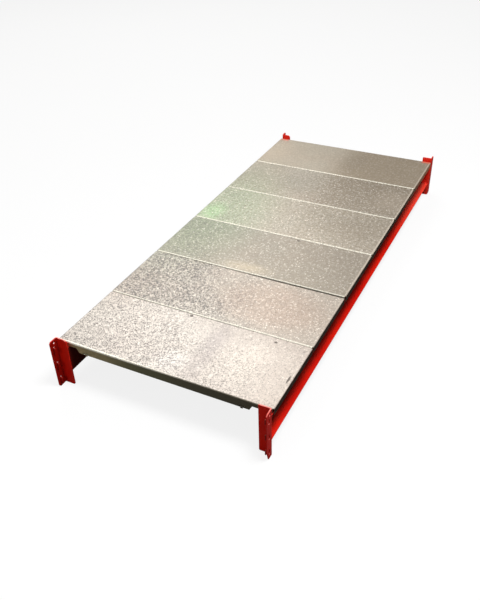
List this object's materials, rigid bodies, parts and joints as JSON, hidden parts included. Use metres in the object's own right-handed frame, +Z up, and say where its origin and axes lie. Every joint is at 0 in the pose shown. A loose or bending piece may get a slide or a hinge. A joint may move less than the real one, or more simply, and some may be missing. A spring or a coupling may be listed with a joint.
{
  "type": "pallet rack shelf level with hooked beams",
  "caption": "Rack shelf level: two channel beams with welded hooked end connectors, carrying a deck of folded galvanised steel trays side by side across them.",
  "frame": {"origin": "on the ground under the middle of the level, at the lower ends of the four connectors", "axes": "+X along the beams from the left end to the right end, +Y from the front beam to the rear beam, +Z up"},
  "size_m": [1.47, 0.6, 0.146],
  "materials": {
    "red_paint": "semi-gloss red powder coat, smooth",
    "galvanised_steel": "hot-dip galvanised sheet with a fine spangle, satin"
  },
  "bodies": {
    "root": {"front_beam": "red_paint", "rear_beam": "red_paint", "front_left_connector": "red_paint", "front_right_connector": "red_paint", "rear_left_connector": "red_paint", "rear_right_connector": "red_paint", "front_left_welds": "red_paint", "front_right_welds": "red_paint", "rear_left_welds": "red_paint", "rear_right_welds": "red_paint", "tray_1": "galvanised_steel", "tray_2": "galvanised_steel", "tray_3": "galvanised_steel", "tray_4": "galvanised_steel", "tray_5": "galvanised_steel", "tray_6": "galvanised_steel"}
  },
  "joints": []
}
